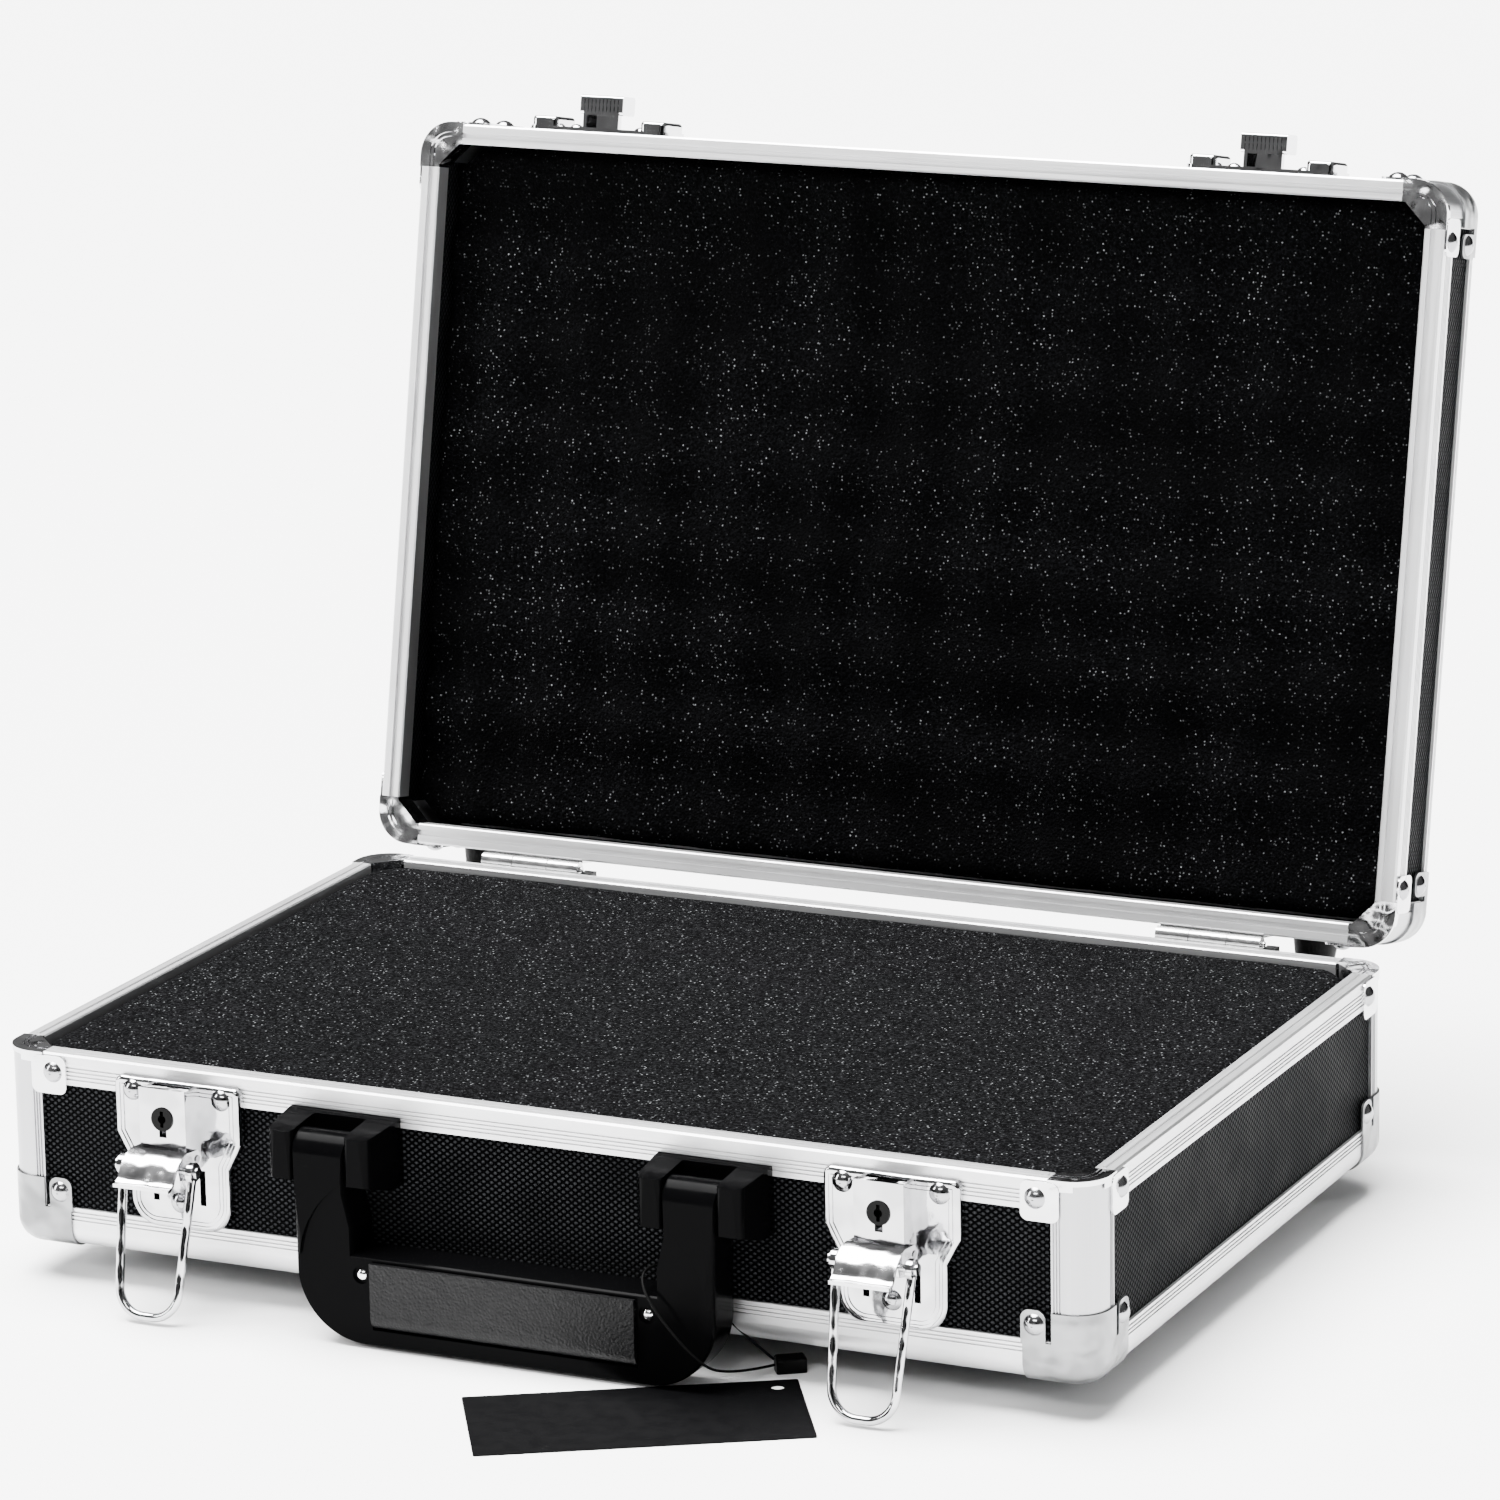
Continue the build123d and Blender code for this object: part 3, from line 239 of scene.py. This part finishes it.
def foam_material(name, lid, dark, light, sparkle, cloud):
    """Foam: a dark granular skin, with painted glints on cells where they would catch the light."""
    s = Shader(name, dark, 0.9, Specular_IOR_Level=0.02)
    vector = s.coords(lid)
    cells = s.voronoi(vector, 1150.0)
    s.bump(cells, 0.0005, 0.8)
    fine = s.noise(vector, 1050.0, 3.0, 0.65)
    patches = s.ramp(s.noise(vector, 30.0, 2.0), 0.3, 0.7, 1.0 - cloud, 1.0)
    grains = s.math("MULTIPLY", s.ramp(fine, 0.42, 0.72), patches)
    tone = s.mix(grains, dark, light)
    bright = s.voronoi(vector, 1000.0, out="Color")
    glint = s.ramp(bright, sparkle, 1.0)
    core = s.ramp(s.voronoi(vector, 1000.0), 0.08, 0.42, 1.0, 0.0)
    # Painted highlight: scattered cells get a light base colour as glints.
    painted_glint = s.math("MULTIPLY", s.math("MULTIPLY", glint, core), patches)
    s.set("Base Color", s.mix(painted_glint, tone, (0.16, 0.165, 0.17)))
    return s.mat


def leatherette():
    """Grip pad: black leatherette with a fine pebbled grain."""
    s = Shader("grip_leatherette", (0.0014, 0.0014, 0.0016), 0.42, Specular_IOR_Level=0.12)
    vector = s.coords()
    pebbles = s.voronoi(vector, 1300.0, "SMOOTH_F1")
    s.bump(pebbles, 0.0003, 0.7)
    s.bump(s.noise(vector, 160.0, 2.0), 0.0003, 0.5)
    s.set("Roughness", s.ramp(s.noise(vector, 300.0, 3.0), 0.3, 0.7, 0.36, 0.5))
    return s.mat


for shell, is_lid in (("base", False), ("lid", True)):
    front_weave = laminate(f"{shell}_laminate_front", "X", "Z", is_lid)
    side_weave = laminate(f"{shell}_laminate_side", "Y", "Z", is_lid)
    flat_weave = laminate(f"{shell}_laminate_flat", "X", "Y", is_lid)
    paint(front_weave, f"{shell}_front_panel", f"{shell}_back_panel")
    paint(side_weave, f"{shell}_left_panel", f"{shell}_right_panel")
    paint(flat_weave, "base_bottom_panel" if shell == "base" else "lid_top_panel")
    aluminium = brushed(f"{shell}_aluminium", is_lid)
    for side in ("front", "back", "left", "right"):
        paint(aluminium, f"{shell}_rim_{side}")
    paint(aluminium, f"{shell}_edge_profiles")
    paint(post_metal(f"{shell}_post_aluminium", is_lid), f"{shell}_corner_posts")
    paint(plated(f"{shell}_rim_corner_chrome", (0.66, 0.66, 0.67), 0.12, is_lid, 0.0004),
          f"{shell}_rim_corners")
    paint(plated(f"{shell}_corner_nickel", (0.24, 0.243, 0.246), 0.28, is_lid, 0.0005, 0.1, 0.70),
          f"{shell}_ball_corners")
    paint(plated(f"{shell}_rivet_steel", (0.33, 0.33, 0.34), 0.14, is_lid), f"{shell}_corner_rivets")

chrome = plated("latch_chrome", (0.50, 0.50, 0.51), 0.07, False, 0.00022, 0.06, 0.8)
lever_chrome = plated("lever_chrome", (0.62, 0.62, 0.63), 0.13, False, 0.0003)
rivet_steel = plated("latch_rivet_steel", (0.32, 0.32, 0.33), 0.12)
dark_key = plated("key_barrel_dark", (0.006, 0.006, 0.006), 0.25)
for side in ("left", "right"):
    paint(chrome, f"latch_plate_{side}", f"lock_box_{side}", f"latch_bail_{side}")
    paint(lever_chrome, f"latch_lever_{side}")
    paint(dark_key, f"lock_plug_{side}")
    paint(plated(f"keeper_chrome_{side}", (0.66, 0.66, 0.67), 0.07, True, 0.00008),
          f"keeper_{side}")
paint(rivet_steel, "latch_rivets", "lever_pins")
paint(plated("keeper_rivet_steel", (0.6, 0.6, 0.61), 0.14, True), "keeper_rivets")
hinge_steel = plated("hinge_steel", (0.62, 0.62, 0.62), 0.18)
paint(hinge_steel, "hinge_base_leaves", "hinge_pins")
paint(plated("hinge_lid_steel", (0.62, 0.62, 0.62), 0.18, True), "hinge_lid_leaves")
paint(moulded("hinge_stop_plastic", (0.002, 0.002, 0.002), 0.4, Specular_IOR_Level=0.08),
      "hinge_stops")

handle_black = moulded("handle_plastic", (0.0009, 0.0009, 0.001), 0.18, Specular_IOR_Level=0.012)
paint(handle_black, "handle_frame", "handle_bracket_left", "handle_bracket_right")
paint(plated("handle_pin_steel", (0.4, 0.4, 0.4), 0.2), "handle_pins")
paint(plated("screw_chrome", (0.8, 0.8, 0.8), 0.1), "grip_screws")
paint(leatherette(), "grip_pad")
rubber = moulded("foot_rubber", (0.002, 0.002, 0.002), 0.55, 0.00006, Specular_IOR_Level=0.08)
paint(rubber, "base_feet")
paint(moulded("lid_foot_rubber", (0.002, 0.002, 0.002), 0.55, 0.00006, True, Specular_IOR_Level=0.08),
      "lid_rear_feet")
card_black = moulded("tag_card_black", (0.0012, 0.0012, 0.0014), 0.5, 0.00003, Specular_IOR_Level=0.04)
paint(card_black, "tag_card")
paint(moulded("seal_plastic", (0.001, 0.001, 0.001), 0.35, Specular_IOR_Level=0.06), "tag_seal")


# ---------------------------------------------------------------- pieces
def new_object(name, bm, material, body):
    mesh = bpy.data.meshes.new(name)
    bm.to_mesh(mesh)
    bm.free()
    for polygon in mesh.polygons:
        polygon.use_smooth = True
    piece = bpy.data.objects.new(name, mesh)
    bpy.context.scene.collection.objects.link(piece)
    mesh.materials.append(material)
    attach(piece, body)
    return piece


CORNER_CUT = 0.0084   # how far each corner of a slab is cut back, along its sides
EDGE_REACH = 0.004    # width of the sunken edge
EDGE_SINK = 0.0022    # its depth at the wall


def foam_slab(name, low, high, surface, material, body, matrix, step=0.0025):
    """Foam insert: a gridded face shaped by surface(x, y), soft edges, cut corners, a flat back."""
    (x0, y0, z0), (x1, y1, z1) = low, high
    across, deep = round((x1 - x0) / step), round((y1 - y0) / step)
    bm = bmesh.new()
    rows = []
    for j in range(deep + 1):
        row = []
        for i in range(across + 1):
            x = x0 + (x1 - x0) * i / across
            y = y0 + (y1 - y0) * j / deep
            edge = min(x - x0, x1 - x, y - y0, y1 - y)
            corner = (min(x - x0, x1 - x) + min(y - y0, y1 - y) - CORNER_CUT) / math.sqrt(2)
            if corner < 0:
                push = -corner / math.sqrt(2)
                x += math.copysign(push, -x)
                y += math.copysign(push, -y)
            soft = max(0.0, 1 - max(0.0, min(edge, corner)) / EDGE_REACH) ** 2
            sink = math.copysign(EDGE_SINK * soft, z1 - z0)
            row.append(bm.verts.new((x, y, surface(x, y) - sink)))
        rows.append(row)
    for j in range(deep):
        for i in range(across):
            bm.faces.new((rows[j][i], rows[j][i + 1], rows[j + 1][i + 1], rows[j + 1][i]))
    right = [row[-1] for row in rows[1:]]
    left = [row[0] for row in rows[-2:0:-1]]
    rim = rows[0] + right + rows[-1][-2::-1] + left
    back = [bm.verts.new((v.co.x, v.co.y, z0)) for v in rim]
    for a in range(len(rim)):
        b = (a + 1) % len(rim)
        bm.faces.new((rim[b], rim[a], back[a], back[b]))
    bm.faces.new(back)
    bmesh.ops.recalc_face_normals(bm, faces=bm.faces)
    bmesh.ops.transform(bm, matrix=matrix, verts=bm.verts)
    return new_object(name, bm, material, body)


BASE_FOAM_LEVEL = 0.0708
LID_FOAM_LEVEL = 0.0838  # with the lid shut
PEAK_PITCH, PEAK_HEIGHT = 0.030, 0.0030


def base_surface(x, y):
    """Nearly flat top of the base foam, with the slightest unevenness."""
    return BASE_FOAM_LEVEL + 0.0003 * noise.noise(Vector((x * 40, y * 40, 0)))


def lid_surface(x, y):
    """Convoluted lid foam: low, soft, slightly irregular peaks in staggered rows."""
    stray = 0.006 * noise.noise(Vector((x * 12, y * 12, 3)))
    wave = math.sin(math.pi * (x + y + stray) / PEAK_PITCH)
    wave *= math.sin(math.pi * (x - y + stray) / PEAK_PITCH)
    height = 0.7 + 0.5 * noise.noise(Vector((x * 25, y * 25, 8)))
    return LID_FOAM_LEVEL + PEAK_HEIGHT * wave * height


foam_x, foam_y = 0.1705, 0.1115
base_foam = foam_slab(
    "base_foam_insert", (-foam_x, -foam_y, 0.016), (foam_x, foam_y, 0.071), base_surface,
    foam_material("base_foam_cells", False, (0.0004, 0.0004, 0.0005), (0.0078, 0.0080, 0.0086),
                  0.66, 0.15),
    "base", Matrix.Identity(4))
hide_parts("base_foam")
lid_foam = foam_slab(
    "lid_foam_insert", (-foam_x, -foam_y, 0.1003), (foam_x, foam_y, 0.0775), lid_surface,
    foam_material("lid_foam_cells", True, (0.0001, 0.0001, 0.00015), (0.0023, 0.0024, 0.0028),
                  0.66, 0.7),
    "lid", TO_OPEN)
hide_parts("lid_foam")

# ---------------------------------------------------------------- tag string
string_points = [
    (0.0730, -0.1094, 0.0036), (0.0672, -0.1202, 0.0150), (0.0438, -0.1196, 0.0342),
    (0.0438, -0.1416, 0.0342), (0.0634, -0.1414, 0.0114), (0.0686, -0.1290, 0.0046),
    (0.0739, -0.1109, 0.0024),
]
curve = bpy.data.curves.new("tag_string_cord", "CURVE")
curve.dimensions = "3D"
curve.bevel_depth = 0.0004
curve.bevel_resolution = 4
curve.use_fill_caps = True
spline = curve.splines.new("NURBS")
spline.points.add(len(string_points) - 1)
for point, place in zip(spline.points, string_points):
    point.co = (*place, 1)
spline.order_u = 3
spline.use_endpoint_u = True
spline.resolution_u = 12
string = bpy.data.objects.new("tag_string_cord", curve)
bpy.context.scene.collection.objects.link(string)
curve.materials.append(moulded("string_black", (0.001, 0.001, 0.001), 0.6, Specular_IOR_Level=0.05))
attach(string, "handle")
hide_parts("tag_string")

# ---------------------------------------------------------------- studio
floor_bm = bmesh.new()
bmesh.ops.create_grid(floor_bm, x_segments=1, y_segments=1, size=14)
floor_mesh = bpy.data.meshes.new("studio_floor")
floor_bm.to_mesh(floor_mesh)
floor_bm.free()
floor = bpy.data.objects.new("studio_floor", floor_mesh)
bpy.context.scene.collection.objects.link(floor)
floor_look = Shader("studio_floor", (0.95, 0.95, 0.95), 0.6, Specular_IOR_Level=0.1)
floor_mesh.materials.append(floor_look.mat)


def softbox(name, place, aim, size, energy):
    """Rectangular area light at place, facing aim."""
    data = bpy.data.lights.new(name, "AREA")
    data.shape = "RECTANGLE"
    data.size, data.size_y = size
    data.energy = energy
    lamp = bpy.data.objects.new(name, data)
    lamp.location = place
    lamp.rotation_euler = (Vector(aim) - Vector(place)).to_track_quat("-Z", "Y").to_euler()
    bpy.context.scene.collection.objects.link(lamp)


sun_data = bpy.data.lights.new("overhead_light", "SUN")
sun_data.energy = 25.0
sun_data.angle = 0.9
sun = bpy.data.objects.new("overhead_light", sun_data)
sun.rotation_euler = Vector((0.22, -0.02, -1.0)).to_track_quat("-Z", "Y").to_euler()
bpy.context.scene.collection.objects.link(sun)
softbox("left_softbox", (-1.9, -1.3, 0.9), (0, 0, 0.1), (0.35, 1.3), 40)
softbox("front_softbox", (0.3, -2.5, 1.9), (0, 0, 0.1), (1.6, 0.35), 40)


def studio_world():
    """Bright ceiling over pale walls with dark windows and low dark posts, for metal to reflect."""
    world = bpy.data.worlds.new("studio")
    world.use_nodes = True
    n = Nodes(world.node_tree)
    x, y, z = n.split(n.add("ShaderNodeTexCoord").outputs["Generated"])
    turn = n.math("ARCTAN2", y, x)
    windows = n.math("COSINE", n.math("MULTIPLY_ADD", turn, 3.0, math.pi))
    walls = n.ramp(windows, 0.35, 0.6, 1.0, 0.02)
    posts = n.ramp(n.math("COSINE", n.math("MULTIPLY", turn, 14.0)), -0.1, 0.3, 1.0, 0.03)
    horizon = n.math("MAXIMUM", posts, n.ramp(z, 0.16, 0.22, 0.0, 1.0))
    ceiling = n.ramp(z, 0.35, 0.6, 0.0, 1.0)
    seen = n.math("MAXIMUM", n.math("MULTIPLY", walls, horizon), ceiling)
    level = n.math("MULTIPLY", seen, n.ramp(z, 0.1, 0.9, 2.8, 4.2))
    n.link(level, n.tree.nodes["Background"].inputs["Strength"])
    return world


bpy.context.scene.world = studio_world()

camera_data = bpy.data.cameras.new("camera")
camera_data.lens = 163.49
camera_data.sensor_width = 36
camera = bpy.data.objects.new("camera", camera_data)
camera.location = (0.86843, -1.79110, 0.66795)
camera.rotation_euler = (1.316963, 0.018, 0.439035)
bpy.context.scene.collection.objects.link(camera)
bpy.context.scene.camera = camera
